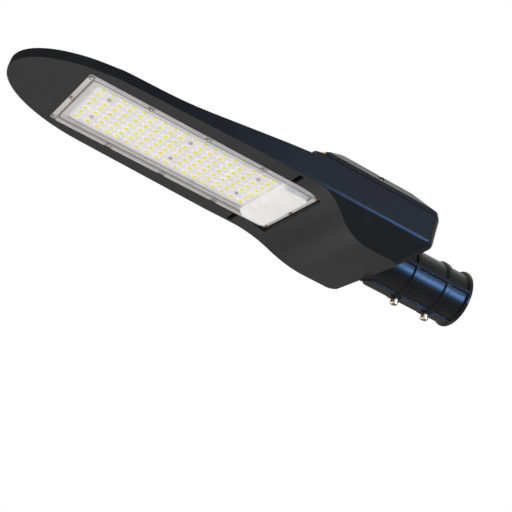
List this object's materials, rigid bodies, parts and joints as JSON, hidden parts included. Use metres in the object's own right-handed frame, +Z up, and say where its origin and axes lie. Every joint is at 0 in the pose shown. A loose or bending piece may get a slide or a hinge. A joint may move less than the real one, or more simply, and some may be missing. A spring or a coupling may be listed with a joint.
{
  "type": "led street light",
  "caption": "Flat LED street light head with a rounded nose, a lens window underneath, a lidded driver compartment and a ribbed round socket that slips over a lamp-post arm.",
  "frame": {"origin": "centre of the pole socket's mouth, on the socket's axis", "axes": "+X along the socket's axis, out of its mouth; +Z up; the lit window faces -Z"},
  "size_m": [0.616, 0.202, 0.0968],
  "materials": {
    "housing_paint": "fine matt powder coat on die-cast aluminium, dark charcoal",
    "cover_paint": "fine matt powder coat on die-cast aluminium, dark charcoal",
    "seal_rubber": "soft black silicone rubber",
    "lens_plastic": "clear glossy moulded polycarbonate",
    "screw_steel": "bright zinc-plated steel",
    "screw_brass": "yellow zinc-plated steel, gold coloured",
    "board_white": "white solder mask on an aluminium core",
    "led_phosphor": "yellow phosphor under clear silicone",
    "cover_white": "matt off-white moulded plastic",
    "driver_case": "plain extruded aluminium",
    "connector_white": "natural nylon",
    "terminal_cream": "cream nylon",
    "gland_black": "black nylon",
    "earth_copper": "tinned copper",
    "lead_red": "red lead insulation",
    "lead_black": "black lead insulation",
    "lead_brown": "brown lead insulation",
    "lead_blue": "blue lead insulation",
    "lead_green": "green and yellow lead insulation"
  },
  "bodies": {
    "root": {"lamp_housing": "housing_paint", "driver_cover": "cover_paint", "cover_gasket": "seal_rubber", "cover_screws": "screw_brass", "lens_plate": "lens_plastic", "lens_gasket": "seal_rubber", "lens_screws": "screw_steel", "led_board": "board_white", "leds": "led_phosphor", "board_screws": "screw_steel", "wiring_cover": "cover_white", "led_connector": "connector_white", "led_lead_positive": "lead_red", "led_lead_negative": "lead_black", "lead_grommet": "seal_rubber", "led_driver": "driver_case", "driver_screws": "screw_steel", "terminal_block": "terminal_cream", "terminal_screws": "screw_brass", "terminal_fixing_screws": "screw_steel", "live_lead": "lead_brown", "neutral_lead": "lead_blue", "earth_lead": "lead_green", "earth_lug": "earth_copper", "earth_screw": "screw_brass", "gland_body": "gland_black", "gland_seal": "seal_rubber", "gland_nut": "gland_black", "gland_locknut": "gland_black", "set_screws": "screw_steel"}
  },
  "joints": []
}
